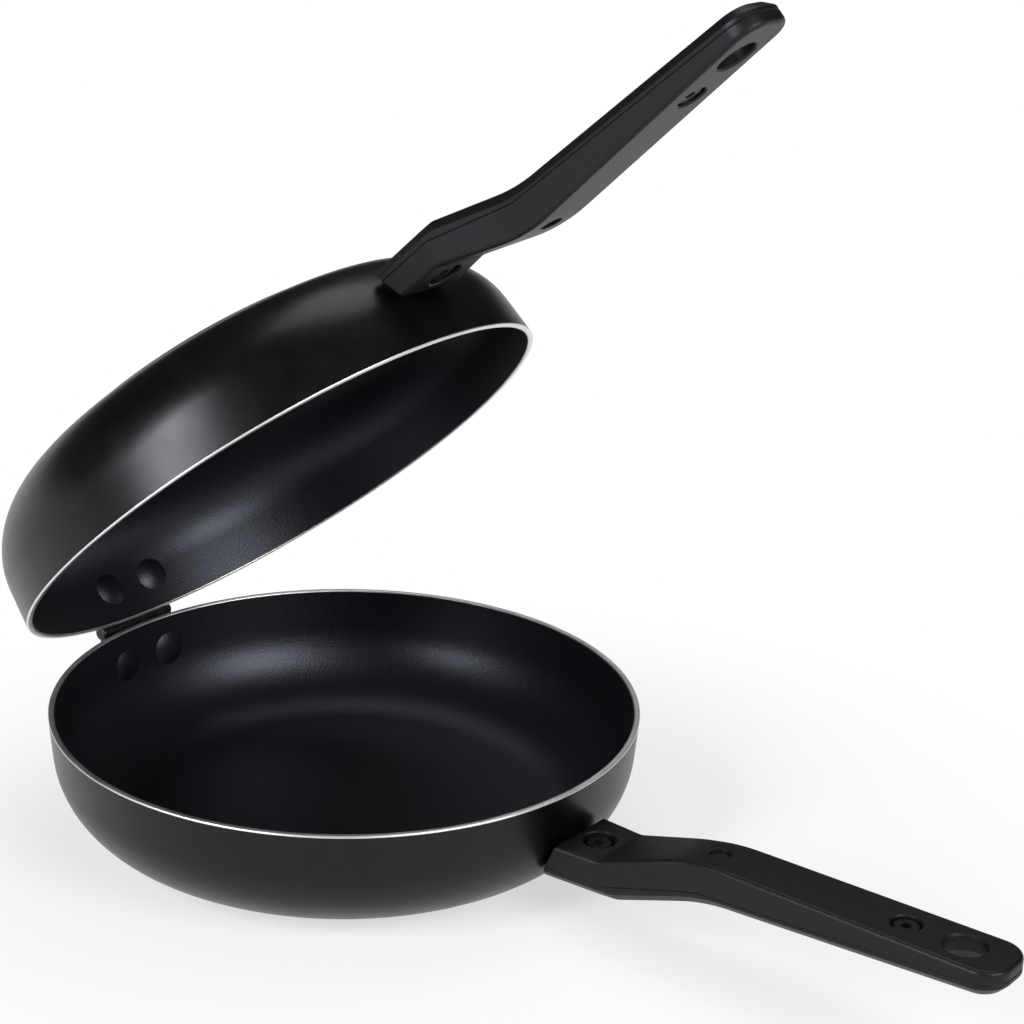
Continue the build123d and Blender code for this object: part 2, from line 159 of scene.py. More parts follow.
@dataclass(frozen=True)
class Finish:
    """A procedural surface: colour and gloss that vary a little, layers of grain, and turned rings.

    Attributes:
        name: the material's name.
        dark: the darker tone of the mottling.
        light: its lighter tone.
        tone_scale: cells of the mottling per metre.
        gloss: least and most roughness.
        metallic: 1 for bare metal.
        specular: strength of the mirror image in the surface.
        tint: colour of that image.
        grains: layers of surface noise.
        ring_pitch: distance between turned rings in metres, 0 for none.
        ring_height: bump height of the rings in metres.
    """

    name: str
    dark: Point
    light: Point
    tone_scale: float
    gloss: tuple[float, float]
    metallic: float = 0.0
    specular: float = 0.5
    tint: Point = (1.0, 1.0, 1.0)
    grains: tuple[Grain, ...] = ()
    ring_pitch: float = 0.0
    ring_height: float = 0.0

    def build(self, place: tuple[Vector, Euler] | None = None) -> bpy.types.Material:
        """Make the material.

        Args:
            place: the shift and turn from the row's frame to a pan's own, for a ringed finish.

        Returns:
            A node material that reads Object coordinates only.
        """
        material = bpy.data.materials.new(self.name)
        material.use_nodes = True
        tree = material.node_tree
        shader = tree.nodes["Principled BSDF"]
        shader.inputs["Metallic"].default_value = self.metallic
        shader.inputs["Specular IOR Level"].default_value = self.specular
        shader.inputs["Specular Tint"].default_value = (*self.tint, 1.0)
        material.diffuse_color = (*self.light, 1.0)
        where = self._coordinates(tree, place)
        tone = self._noise(tree, where, self.tone_scale, TONE_DETAIL)
        self._colour(tree, tone, shader)
        self._roughness(tree, tone, shader)
        self._relief(tree, where, shader)
        return material

    @staticmethod
    def _coordinates(tree: Tree, place: tuple[Vector, Euler] | None) -> Socket:
        """Add the coordinates that the textures read.

        Args:
            tree: the material's nodes.
            place: the shift and turn to a pan's own frame, or None for the row's.

        Returns:
            The socket that gives them.
        """
        source = tree.nodes.new("ShaderNodeTexCoord").outputs["Object"]
        if place is None:
            return source
        mapping = tree.nodes.new("ShaderNodeMapping")
        mapping.inputs["Location"].default_value = place[0]
        mapping.inputs["Rotation"].default_value = place[1]
        tree.links.new(source, mapping.inputs["Vector"])
        return mapping.outputs["Vector"]

    @staticmethod
    def _noise(tree: Tree, where: Socket, scale: float, detail: float) -> Socket:
        """Add a noise texture.

        Args:
            tree: the material's nodes.
            where: its coordinates.
            scale: its cells per metre.
            detail: its octaves.

        Returns:
            The socket that gives the noise.
        """
        noise = tree.nodes.new("ShaderNodeTexNoise")
        noise.inputs["Scale"].default_value = scale
        noise.inputs["Detail"].default_value = detail
        tree.links.new(where, noise.inputs["Vector"])
        return noise.outputs["Fac"]

    def _colour(self, tree: Tree, tone: Socket, shader: bpy.types.Node) -> None:
        """Mottle the colour between the dark and the light tone.

        Args:
            tree: the material's nodes.
            tone: the mottling noise.
            shader: the surface's shader.
        """
        ramp = tree.nodes.new("ShaderNodeValToRGB")
        for stop, level, colour in zip(ramp.color_ramp.elements, TONE_LEVELS, (self.dark, self.light)):
            stop.position = level
            stop.color = (*colour, 1.0)
        tree.links.new(tone, ramp.inputs["Fac"])
        tree.links.new(ramp.outputs["Color"], shader.inputs["Base Color"])

    def _roughness(self, tree: Tree, tone: Socket, shader: bpy.types.Node) -> None:
        """Vary the roughness with the same mottling.

        Args:
            tree: the material's nodes.
            tone: the mottling noise.
            shader: the surface's shader.
        """
        spread = tree.nodes.new("ShaderNodeMapRange")
        spread.inputs["From Min"].default_value = GLOSS_LEVELS[0]
        spread.inputs["From Max"].default_value = GLOSS_LEVELS[1]
        spread.inputs["To Min"].default_value = self.gloss[0]
        spread.inputs["To Max"].default_value = self.gloss[1]
        tree.links.new(tone, spread.inputs["Value"])
        tree.links.new(spread.outputs["Result"], shader.inputs["Roughness"])

    def _relief(self, tree: Tree, where: Socket, shader: bpy.types.Node) -> None:
        """Chain a bump node for each layer of grain, then one for turned rings.

        Args:
            tree: the material's nodes.
            where: the textures' coordinates.
            shader: the surface's shader.
        """
        normal = None
        layers = []
        for grain in self.grains:
            layers.append((self._noise(tree, where, grain.scale, grain.detail), grain.height))
        if self.ring_pitch:
            layers.append((self._rings(tree, where), self.ring_height))
        for height, reach in layers:
            bump = tree.nodes.new("ShaderNodeBump")
            bump.inputs["Strength"].default_value = 1.0
            bump.inputs["Distance"].default_value = reach
            tree.links.new(height, bump.inputs["Height"])
            if normal is not None:
                tree.links.new(normal, bump.inputs["Normal"])
            normal = bump.outputs["Normal"]
        if normal is not None:
            tree.links.new(normal, shader.inputs["Normal"])

    def _rings(self, tree: Tree, where: Socket) -> Socket:
        """Add fine rings about the pan's axis, as a lathe tool leaves them.

        Args:
            tree: the material's nodes.
            where: coordinates in the pan's own frame.

        Returns:
            The socket that gives the rings' height.
        """
        wave = tree.nodes.new("ShaderNodeTexWave")
        wave.wave_type = "RINGS"
        wave.rings_direction = "Z"
        wave.inputs["Scale"].default_value = WAVE_PERIOD / self.ring_pitch
        wave.inputs["Distortion"].default_value = WAVE_WOBBLE
        wave.inputs["Detail"].default_value = WAVE_DETAIL
        tree.links.new(where, wave.inputs["Vector"])
        return wave.outputs["Fac"]


OUTER_COAT = Finish(
    "satin_black_coat", (0.0016, 0.0016, 0.0018), (0.0026, 0.0026, 0.0030), 90.0, (0.305, 0.345),
    specular=0.32, tint=(0.90, 0.93, 1.0), grains=(Grain(700.0, 2.0, 0.000004),),
)
INNER_COAT = Finish(
    "nonstick_coat", (0.0018, 0.0019, 0.0024), (0.0042, 0.0045, 0.0058), 1500.0, (0.35, 0.43),
    specular=0.62, tint=(0.79, 0.84, 1.0), grains=(Grain(1200.0, 3.0, 0.00009), Grain(260.0, 2.0, 0.00003)),
)
BARE_RIM = Finish(
    "turned_aluminium", (0.76, 0.76, 0.77), (0.84, 0.84, 0.85), 60.0, (0.40, 0.48),
    metallic=1.0, ring_pitch=0.0008, ring_height=0.000002,
)
PHENOLIC = Finish(
    "black_phenolic", (0.0032, 0.0033, 0.0036), (0.0064, 0.0066, 0.0072), 2200.0, (0.40, 0.50),
    specular=0.3, tint=(0.86, 0.92, 1.0), grains=(Grain(1600.0, 2.0, 0.00005), Grain(500.0, 2.0, 0.00001)),
)
FOOT_STEEL = Finish(
    "turned_steel_foot", (0.22, 0.22, 0.225), (0.25, 0.25, 0.255), 900.0, (0.33, 0.37),
    metallic=1.0, ring_pitch=0.0012, ring_height=0.00002,
)
BLACK_STEEL = Finish(
    "blackened_steel", (0.035, 0.035, 0.037), (0.06, 0.06, 0.063), 600.0, (0.34, 0.46),
    metallic=1.0, grains=(Grain(1800.0, 2.0, 0.00001),),
)


class FinishBook:
    """Builds each finish once for each pan frame that it needs."""

    def __init__(self, hinge: HingeFrame) -> None:
        """Keep the pans' frames."""
        self.hinge = hinge
        self.made: dict[tuple[str, Side | None], bpy.types.Material] = {}

    def get(self, finish: Finish, side: Side | None = None) -> bpy.types.Material:
        """Give a finish's material.

        Args:
            finish: which finish.
            side: the pan whose axis its rings follow, if any.

        Returns:
            The material, made on the first call.
        """
        key = (finish.name, side)
        if key not in self.made:
            place = self.hinge.unplace(side) if side else None
            self.made[key] = finish.build(place)
            if side:
                self.made[key].name = f"{finish.name}_{side.value}"
        return self.made[key]


# --------------------------------------------------------------------------- meshes

WELD_DIST = 0.0005  # points closer than this become one
SLICE_DIST = 0.0001  # points closer than this to a dividing plane lie on it
ARC_STEP = 5.0  # degrees of a rounded corner that one segment takes
ON_AXIS = 1e-6  # how far from the Z axis a point counts as on it


def make_piece(
    name: str, mesh: Mesh, place: Matrix, materials: list[bpy.types.Material], sharp_degrees: float = 28.0
) -> bpy.types.Object:
    """Turn a bmesh into a finished object at the origin.

    Args:
        name: the piece's name.
        mesh: its shape in a pan's own frame; freed here.
        place: the transform to the row's frame.
        materials: its material slots, in order.
        sharp_degrees: edges that turn by more are shaded sharp.

    Returns:
        The linked object.
    """
    bmesh.ops.remove_doubles(mesh, verts=mesh.verts, dist=WELD_DIST)
    bmesh.ops.recalc_face_normals(mesh, faces=mesh.faces)
    bmesh.ops.transform(mesh, matrix=place, verts=mesh.verts)
    limit = math.radians(sharp_degrees)
    for face in mesh.faces:
        face.smooth = True
    for edge in mesh.edges:
        edge.smooth = len(edge.link_faces) == 2 and edge.calc_face_angle(0.0) < limit
    data = bpy.data.meshes.new(name)
    mesh.to_mesh(data)
    mesh.free()
    for material in materials:
        data.materials.append(material)
    piece = bpy.data.objects.new(name, data)
    bpy.context.scene.collection.objects.link(piece)
    return piece


def profile_face(mesh: Mesh, corners: list[Corner]) -> None:
    """Add one flat face in the XZ plane and round its corners.

    Args:
        mesh: where the face goes.
        corners: x, z and rounding radius of each corner, in order.
    """
    verts = [mesh.verts.new((x, 0.0, z)) for x, z, _ in corners]
    mesh.faces.new(verts)
    for i, (_, _, radius) in enumerate(corners):
        if not radius:
            continue
        before, here, after = (Vector(corners[(i + k) % len(corners)][:2]) for k in (-1, 0, 1))
        turn = math.pi - (before - here).angle(after - here)
        bmesh.ops.bevel(
            mesh,
            geom=[verts[i]],
            affect="VERTICES",
            offset=radius * math.tan(turn / 2),
            offset_type="OFFSET",
            segments=max(2, round(math.degrees(turn) / ARC_STEP)),
            profile=0.5,
            material=-1,
        )


def spin_profile(mesh: Mesh, corners: list[Corner], steps: int) -> None:
    """Spin a closed outline that starts and ends on the Z axis into a solid.

    Args:
        mesh: an empty mesh for the solid.
        corners: radius, height and rounding radius of each corner, in order.
        steps: segments of the full turn.
    """
    profile_face(mesh, corners)
    bmesh.ops.delete(mesh, geom=list(mesh.faces), context="FACES_ONLY")
    on_axis = [edge for edge in mesh.edges if all(abs(vert.co.x) < ON_AXIS for vert in edge.verts)]
    bmesh.ops.delete(mesh, geom=on_axis, context="EDGES")
    bmesh.ops.spin(
        mesh,
        geom=[*mesh.verts, *mesh.edges],
        cent=(0, 0, 0),
        axis=(0, 0, 1),
        dvec=(0, 0, 0),
        angle=2 * math.pi,
        steps=steps,
        use_merge=True,
        use_duplicate=False,
    )
    bmesh.ops.remove_doubles(mesh, verts=mesh.verts, dist=WELD_DIST)
    bmesh.ops.recalc_face_normals(mesh, faces=mesh.faces)


def extrude_faces(mesh: Mesh, shift: Point) -> None:
    """Extrude every face of a flat mesh into a closed solid.

    Args:
        mesh: the flat mesh.
        shift: how far and which way.
    """
    raised = bmesh.ops.extrude_face_region(mesh, geom=list(mesh.faces))["geom"]
    tops = [item for item in raised if isinstance(item, bmesh.types.BMVert)]
    bmesh.ops.translate(mesh, vec=shift, verts=tops)
    bmesh.ops.holes_fill(mesh, edges=mesh.edges, sides=0)
    bmesh.ops.recalc_face_normals(mesh, faces=mesh.faces)


def make_box(low: Point, high: Point) -> Mesh:
    """Make a box between two corners.

    Args:
        low: the corner with the least coordinates.
        high: the opposite corner.

    Returns:
        The box.
    """
    mesh = bmesh.new()
    bmesh.ops.create_cube(mesh, size=1.0)
    bmesh.ops.scale(mesh, vec=[b - a for a, b in zip(low, high)], verts=mesh.verts)
    bmesh.ops.translate(mesh, vec=[(a + b) / 2 for a, b in zip(low, high)], verts=mesh.verts)
    return mesh


def bevel_edges(
    mesh: Mesh, edges: list[bmesh.types.BMEdge], offset: float, segments: int
) -> list[bmesh.types.BMFace]:
    """Bevel edges.

    Args:
        mesh: the mesh that holds them.
        edges: which edges.
        offset: width of the bevel on each side.
        segments: 1 for a flat bevel, more for a round one.

    Returns:
        The new faces.
    """
    return bmesh.ops.bevel(
        mesh, geom=edges, affect="EDGES", offset=offset, segments=segments, profile=0.5, material=-1
    )["faces"]


def carve(solid: Mesh, cutters: list[Mesh]) -> Mesh:
    """Cut closed meshes out of a closed mesh.

    Args:
        solid: what is cut; freed here.
        cutters: what is taken away; freed here.

    Returns:
        The cut mesh.
    """
    helpers = []
    for part in (solid, *cutters):
        data = bpy.data.meshes.new("carving")
        part.to_mesh(data)
        part.free()
        helpers.append(bpy.data.objects.new("carving", data))
        bpy.context.scene.collection.objects.link(helpers[-1])
    body = helpers[0]
    bpy.context.view_layer.update()
    for tool in helpers[1:]:
        cut = body.modifiers.new("cut", "BOOLEAN")
        cut.operation = "DIFFERENCE"
        cut.solver = "EXACT"
        cut.object = tool
    cut_data = bpy.data.meshes.new_from_object(body.evaluated_get(bpy.context.evaluated_depsgraph_get()))
    result = bmesh.new()
    result.from_mesh(cut_data)
    bpy.data.meshes.remove(cut_data)
    for helper in helpers:
        data = helper.data
        bpy.data.objects.remove(helper)
        bpy.data.meshes.remove(data)
    return result


# --------------------------------------------------------------------------- pans


@dataclass(frozen=True)
class PanShell:
    """A pressed shell with a bare turned rim, spun about the pan's axis.

    Attributes:
        rim_r: outer radius of the rim.
        height: foot to rim.
        wall: thickness of the shell.
        draft_degrees: lean of the wall.
        corner_r: outer radius between floor and wall.
        floor_z: underside of the shell, on top of the foot disc.
        rim_edge: rounding of the rim's two edges.
        steps: segments of the full turn.
    """

    rim_r: float
    height: float = 52.0
    wall: float = 2.4
    draft_degrees: float = 5.0
    corner_r: float = 36.0
    floor_z: float = 2.0
    rim_edge: float = 0.7
    steps: int = 180

    def _corners(self, inset: float) -> tuple[Corner, Corner]:
        """Place the two corners of one of the shell's faces.

        Args:
            inset: how far the face lies inside the outer one.

        Returns:
            The corner between floor and wall, and the end at the rim.
        """
        lean = math.radians(self.draft_degrees)
        rim_r = self.rim_r - inset / math.cos(lean)
        floor_z = self.floor_z + inset
        return (
            (rim_r - (self.height - floor_z) * math.tan(lean), floor_z, self.corner_r - inset),
            (rim_r, self.height, self.rim_edge),
        )

    def build(self, side: Side, hinge: HingeFrame, book: FinishBook) -> bpy.types.Object:
        """Spin the shell and give its coats their own materials.

        Args:
            side: which pan.
            hinge: the pans' frames.
            book: the finishes.

        Returns:
            The piece.
        """
        mesh = bmesh.new()
        outer, inner = self._corners(0.0), self._corners(self.wall)
        outline = [(0.0, self.floor_z, 0.0), *outer, inner[1], inner[0], (0.0, self.floor_z + self.wall, 0.0)]
        spin_profile(mesh, outline, self.steps)
        outside, inside, rim = range(3)
        coat_end = self.height - 1.5 * self.rim_edge  # a little below the rounded rim
        for face in mesh.faces:
            if min(vert.co.z for vert in face.verts) > coat_end:
                face.material_index = rim
            else:
                face.material_index = inside if face.normal.z > 0 else outside
        materials = [book.get(OUTER_COAT), book.get(INNER_COAT), book.get(BARE_RIM, side)]
        piece = make_piece(f"{side.value}_pan_shell", mesh, hinge.place(side), materials)
        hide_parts(f"{side.value}_pan")
        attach(piece, f"{side.value}_half")
        return piece


PANS = {Side.LOWER: PanShell(120.0), Side.UPPER: PanShell(117.1408)}  # the upper rim drops into the lower one


# --------------------------------------------------------------------------- handles

HEAD_X = 113.4  # foot of the handle's leaning end, against the pan
TIP_X = 303.5
INSIDE_X = 100.0  # a station well inside the pan, where cutters start
SCREW_HOLE_R = 2.75
THROUGH = 60.0  # a length that runs through any handle
OVERSHOOT = 2.0  # how far a cutter runs past the face that it opens
SAME_PLACE = 0.1  # points closer than this lie at the same station
LEVEL_NORMAL = 0.6  # a face with a steeper normal than this is part of the handle's top or underside


@dataclass(frozen=True)
class BentLine:
    """A line of straight runs whose bends are softened.

    Attributes:
        points: station and height, or half width, of the start, the bends and the end.
        radii: rounding of each bend.
    """

    points: tuple[tuple[float, float], ...]
    radii: tuple[float, ...]

    def at(self, x: float) -> float:
        """Follow the line.

        Args:
            x: a station along the handle.

        Returns:
            The line's height or half width there.
        """
        steps = list(zip(self.points, self.points[1:]))
        slopes = [(b[1] - a[1]) / (b[0] - a[0]) for a, b in steps]
        value = self.points[0][1]
        for (a, b), slope in zip(steps, slopes):
            value += slope * min(max(x - a[0], 0.0), b[0] - a[0])
        for (bend, _), radius, before, after in zip(self.points[1:], self.radii, slopes, slopes[1:]):
            reach = radius * math.tan(abs(math.atan(after) - math.atan(before)) / 2)
            if abs(x - bend) < reach:
                value += (after - before) * (reach - abs(x - bend)) ** 2 / (4 * reach)
        return value


@dataclass(frozen=True)
class Pocket:
    """A round pocket with a chamfered mouth, and a screw's hole below it.

    Attributes:
        x: its station.
        radius: its radius.
        depth: its depth.
        hole_r: radius of the hole below it, 0 for none.
        mouth: width of the chamfer.
        steps: segments of the full turn.
    """

    x: float
    radius: float
    depth: float
    hole_r: float = 0.0
    mouth: float = 0.55
    steps: int = 48

    def cutter(self, surface_z: float) -> Mesh:
        """Make the closed shape to cut away.

        Args:
            surface_z: height of the face that the pocket opens in.

        Returns:
            The cutter in the pan's own frame.
        """
        outline = [(0.0, -THROUGH, 0.0), (self.hole_r, -THROUGH, 0.0), (self.hole_r, -self.depth, 0.0)]
        if not self.hole_r:
            outline = [(0.0, -self.depth, 0.0)]
        outline += [
            (self.radius, -self.depth, 0.0),
            (self.radius, -self.mouth, 0.0),
            (self.radius + self.mouth + OVERSHOOT, OVERSHOOT, 0.0),
            (0.0, OVERSHOOT, 0.0),
        ]
        mesh = bmesh.new()
        spin_profile(mesh, outline, self.steps)
        bmesh.ops.translate(mesh, vec=(self.x, 0, surface_z), verts=mesh.verts)
        return mesh


@dataclass(frozen=True)
class BossSocket:
    """The room for the welded boss, from inside the pan to the boss's face."""

    end_x: float = 121.25
    half_width: float = 10.75
    low_z: float = 19.75
    high_z: float = 28.85

    def cutter(self) -> Mesh:
        """Make the closed shape to cut away."""
        low = (INSIDE_X, -self.half_width, self.low_z)
        return make_box(low, (self.end_x, self.half_width, self.high_z))


@dataclass(frozen=True)
class HandleMould:
    """The two moulded halves of a handle; the outer one has a slanted facet all round its outer face.

    Attributes:
        half: half width seen from above.
        top: upper face seen from the side.
        joint: parting line of the two halves.
        under: outer face seen from the side.
        stations: where the mould is divided, close together in its bends.
        tip_r: rounding of the tip seen from above.
        tip_segments: segments of that rounding.
        head_lean: run over rise of the end against the pan.
        top_edge: rounding round the upper face.
        facet: width of the slanted facet.
        crease: softening of the facet's edges.
        seam: groove between the halves, as the bevel of each.
        boss: room for the welded boss.
        channel_end: station where the tang's channel ends.
        channel_half: half the channel's width.
        channel_t: the channel's depth in the inner half.
        head_pocket: pocket of the screw by the pan.
        tail_pocket: pocket of the screw by the hanging hole.
        dimple: mark on the crest.
        hang: hanging hole.
        hang_flare_r: its radius in the outer face.
        nut_r: radius of a nut's pocket.
        nut_depth: its depth.
        nut_slot: length of the tail nut's pocket.
        sharp_degrees: edges that turn by more are shaded sharp.
    """

    half: BentLine = BentLine(
        ((HEAD_X, 16.4), (139.0, 15.1), (174.5, 11.4), (197.0, 12.1), (236.0, 12.7), (TIP_X, 13.7)),
        (25.0, 40.0, 60.0, 60.0),
    )
    top: BentLine = BentLine(((HEAD_X, 32.7), (139.0, 32.7), (179.0, 46.2), (TIP_X, 46.2)), (6.0, 80.0))
    joint: BentLine = BentLine(((HEAD_X, 23.0), (142.0, 23.0), (182.0, 33.6), (TIP_X, 41.5)), (1.0, 1.0))
    under: BentLine = BentLine(((HEAD_X, 17.5), (146.0, 17.5), (185.0, 29.4), (TIP_X, 36.4)), (6.0, 80.0))
    stations: tuple[float, ...] = (
        137.0, 138.0, 139.0, 140.0, 142.0, 144.5, 146.0, 147.5, 160.0, 168.0, 170.0, 172.0, 174.0, 176.0,
        178.0, 180.0, 182.0, 184.0, 186.0, 188.0, 190.0, 192.0, 194.0, 196.0, 198.0, 218.0, 256.0,
    )
    tip_r: float = 10.5
    tip_segments: int = 10
    head_lean: float = 6.6 / 15.2
    top_edge: float = 1.8
    facet: float = 3.3
    crease: float = 0.35
    seam: float = 0.28
    boss: BossSocket = BossSocket()
    channel_end: float = 247.0
    channel_half: float = 7.2
    channel_t: float = 2.7
    head_pocket: Pocket = Pocket(129.0, 6.5, 5.0, SCREW_HOLE_R)
    tail_pocket: Pocket = Pocket(261.0, 5.6, 5.0, SCREW_HOLE_R)
    dimple: Pocket = Pocket(183.0, 4.0, 1.5, mouth=0.4)
    hang: Pocket = Pocket(284.0, 7.5, 30.0, mouth=0.7, steps=72)
    hang_flare_r: float = 9.6
    nut_r: float = 5.2
    nut_depth: float = 3.0
    nut_slot: float = 16.0
    sharp_degrees: float = 32.0

    def _block(self, low: BentLine, high: BentLine) -> Mesh:
        """Make a block with the handle's plan between two side outlines.

        Args:
            low: its lower outline.
            high: its upper outline.

        Returns:
            The block, with its tip rounded.
        """
        mesh = make_box((HEAD_X, -1.0, 0.0), (TIP_X, 1.0, 1.0))  # one unit high, and one to each side
        for x in self.stations:
            whole = [*mesh.verts, *mesh.edges, *mesh.faces]
            bmesh.ops.bisect_plane(mesh, geom=whole, dist=SLICE_DIST, plane_co=(x, 0, 0), plane_no=(1, 0, 0))
        for vert in mesh.verts:
            x = vert.co.x
            vert.co.y *= self.half.at(x)
            vert.co.z = (high if vert.co.z > 0.5 else low).at(x)
            if x < HEAD_X + SAME_PLACE:
                vert.co.x += self.head_lean * (vert.co.z - self.under.points[0][1])
        ends = [edge for edge in mesh.edges if all(vert.co.x > TIP_X - SAME_PLACE for vert in edge.verts)]
        upright = [edge for edge in ends if abs(edge.verts[0].co.y - edge.verts[1].co.y) < SAME_PLACE]
        bevel_edges(mesh, upright, self.tip_r, self.tip_segments)
        bmesh.ops.recalc_face_normals(mesh, faces=mesh.faces)
        return mesh

    def _ring(self, mesh: Mesh, upward: bool) -> list[bmesh.types.BMEdge]:
        """Find the edges round a block's upper or lower face, without the head's end against the pan.

        Args:
            mesh: the block.
            upward: True for the upper face.

        Returns:
            The edges.
        """
        sign = 1 if upward else -1
        level = {face for face in mesh.faces if sign * face.normal.z > LEVEL_NORMAL}
        ring = [edge for edge in mesh.edges if len(level & set(edge.link_faces)) == 1]
        return [edge for edge in ring if max(vert.co.x for vert in edge.verts) > self.boss.end_x]

    def _channel_cutter(self) -> Mesh:
        """Make the channel that the tang lies in.

        Returns:
            The cutter, which follows the parting line.
        """
        mesh = bmesh.new()
        (_, head_z), *bends, _ = self.joint.points
        run = ((INSIDE_X, head_z), *bends, (self.channel_end, self.joint.at(self.channel_end)))
        low = [(x, z - OVERSHOOT, 0.0) for x, z in run]
        high = [(x, z + self.channel_t, 0.0) for x, z in reversed(run)]
        profile_face(mesh, low + high)
        extrude_faces(mesh, (0, 2 * self.channel_half, 0))
        bmesh.ops.translate(mesh, vec=(0, -self.channel_half, 0), verts=mesh.verts)
        return mesh

    def _nut_cutter(self, x: float, length: float) -> Mesh:
        """Make a round or drawn-out nut pocket that opens in the outer face.

        Args:
            x: its station.
            length: its length along the handle.

        Returns:
            The cutter.
        """
        top, half, r = self.under.at(x) + self.nut_depth, length / 2, self.nut_r
        corner_r = r - 0.01  # a hair less, so that two roundings never meet
        mesh = bmesh.new()
        plan = ((x + half, r), (x - half, r), (x - half, -r), (x + half, -r))
        profile_face(mesh, [(a, b, corner_r) for a, b in plan])
        bmesh.ops.rotate(mesh, cent=(0, 0, 0), matrix=Matrix.Rotation(-math.pi / 2, 3, "X"), verts=mesh.verts)
        bmesh.ops.translate(mesh, vec=(0, 0, top - THROUGH), verts=mesh.verts)
        extrude_faces(mesh, (0, 0, THROUGH))
        return mesh

    def _flare_cutter(self) -> Mesh:
        """Make the hanging hole of the outer half, wider at its outer face.

        Returns:
            The cutter, which runs past both faces of the half.
        """
        x, hole_r = self.hang.x, self.hang.radius
        under_z, joint_z = self.under.at(x), self.joint.at(x)
        slope = (self.hang_flare_r - hole_r) / (joint_z - under_z)
        low_z, high_z = under_z - 3 * OVERSHOOT, joint_z + 2 * OVERSHOOT
        mesh = bmesh.new()
        outline = [
            (0.0, low_z, 0.0),
            (self.hang_flare_r + (under_z - low_z) * slope, low_z, 0.0),
            (hole_r, joint_z, 0.0),
            (hole_r, high_z, 0.0),
            (0.0, high_z, 0.0),
        ]
        spin_profile(mesh, outline, self.hang.steps)
        bmesh.ops.translate(mesh, vec=(x, 0, 0), verts=mesh.verts)
        return mesh

    @staticmethod
    def _screw_cutter(x: float, steps: int = 32) -> Mesh:
        """Make a screw's hole through the outer half.

        Args:
            x: its station.
            steps: segments of the full turn.

        Returns:
            The cutter.
        """
        mesh = bmesh.new()
        radius, top = SCREW_HOLE_R, THROUGH
        outline = [(0.0, 0.0, 0.0), (radius, 0.0, 0.0), (radius, top, 0.0), (0.0, top, 0.0)]
        spin_profile(mesh, outline, steps)
        bmesh.ops.translate(mesh, vec=(x, 0, 0), verts=mesh.verts)
        return mesh

    def inner_half(self) -> Mesh:
        """Make the half on the side of the other pan.

        Returns:
            Its shape, with pockets, dimple, hanging hole and the tang's channel.
        """
        mesh = self._block(self.joint, self.top)
        bevel_edges(mesh, self._ring(mesh, True), self.top_edge, segments=4)
        bevel_edges(mesh, self._ring(mesh, False), self.seam, segments=1)
        pockets = (self.head_pocket, self.tail_pocket, self.dimple, self.hang)
        cutters = [pocket.cutter(self.top.at(pocket.x)) for pocket in pockets]
        return carve(mesh, [*cutters, self.boss.cutter(), self._channel_cutter()])

    def outer_half(self) -> Mesh:
        """Make the half on the far side.

        Returns:
            Its shape, with facet, nut pockets and flared hanging hole.
        """
        mesh = self._block(self.under, self.joint)
        bevel_edges(mesh, self._ring(mesh, True), self.seam, segments=1)
        facet = set(bevel_edges(mesh, self._ring(mesh, False), self.facet, segments=1))
        creases = [edge for edge in mesh.edges if len(facet & set(edge.link_faces)) == 1]
        bevel_edges(mesh, creases, self.crease, segments=2)
        cutters = [
            self.boss.cutter(),
            self._nut_cutter(self.head_pocket.x, 2 * self.nut_r),
            self._nut_cutter(self.tail_pocket.x, self.nut_slot),
            self._screw_cutter(self.head_pocket.x),
            self._screw_cutter(self.tail_pocket.x),
            self._flare_cutter(),
        ]
        return carve(mesh, cutters)

    def build(self, hinge: HingeFrame, book: FinishBook) -> list[bpy.types.Object]:
        """Mould both halves once and put them on both pans.

        Args:
            hinge: the pans' frames.
            book: the finishes.

        Returns:
            The four pieces.
        """
        pieces = []
        for half, mesh in (("inner", self.inner_half()), ("outer", self.outer_half())):
            for side in Side:
                name = f"{side.value}_handle_{half}"
                place, materials = hinge.place(side), [book.get(PHENOLIC)]
                piece = make_piece(f"{name}_moulding", mesh.copy(), place, materials, self.sharp_degrees)
                evened = piece.modifiers.new("evened", "WEIGHTED_NORMAL")
                evened.keep_sharp = True
                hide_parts(name)
                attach(piece, f"{side.value}_half")
                pieces.append(piece)
            mesh.free()
        return pieces


# --------------------------------------------------------------------------- carried-over nodes


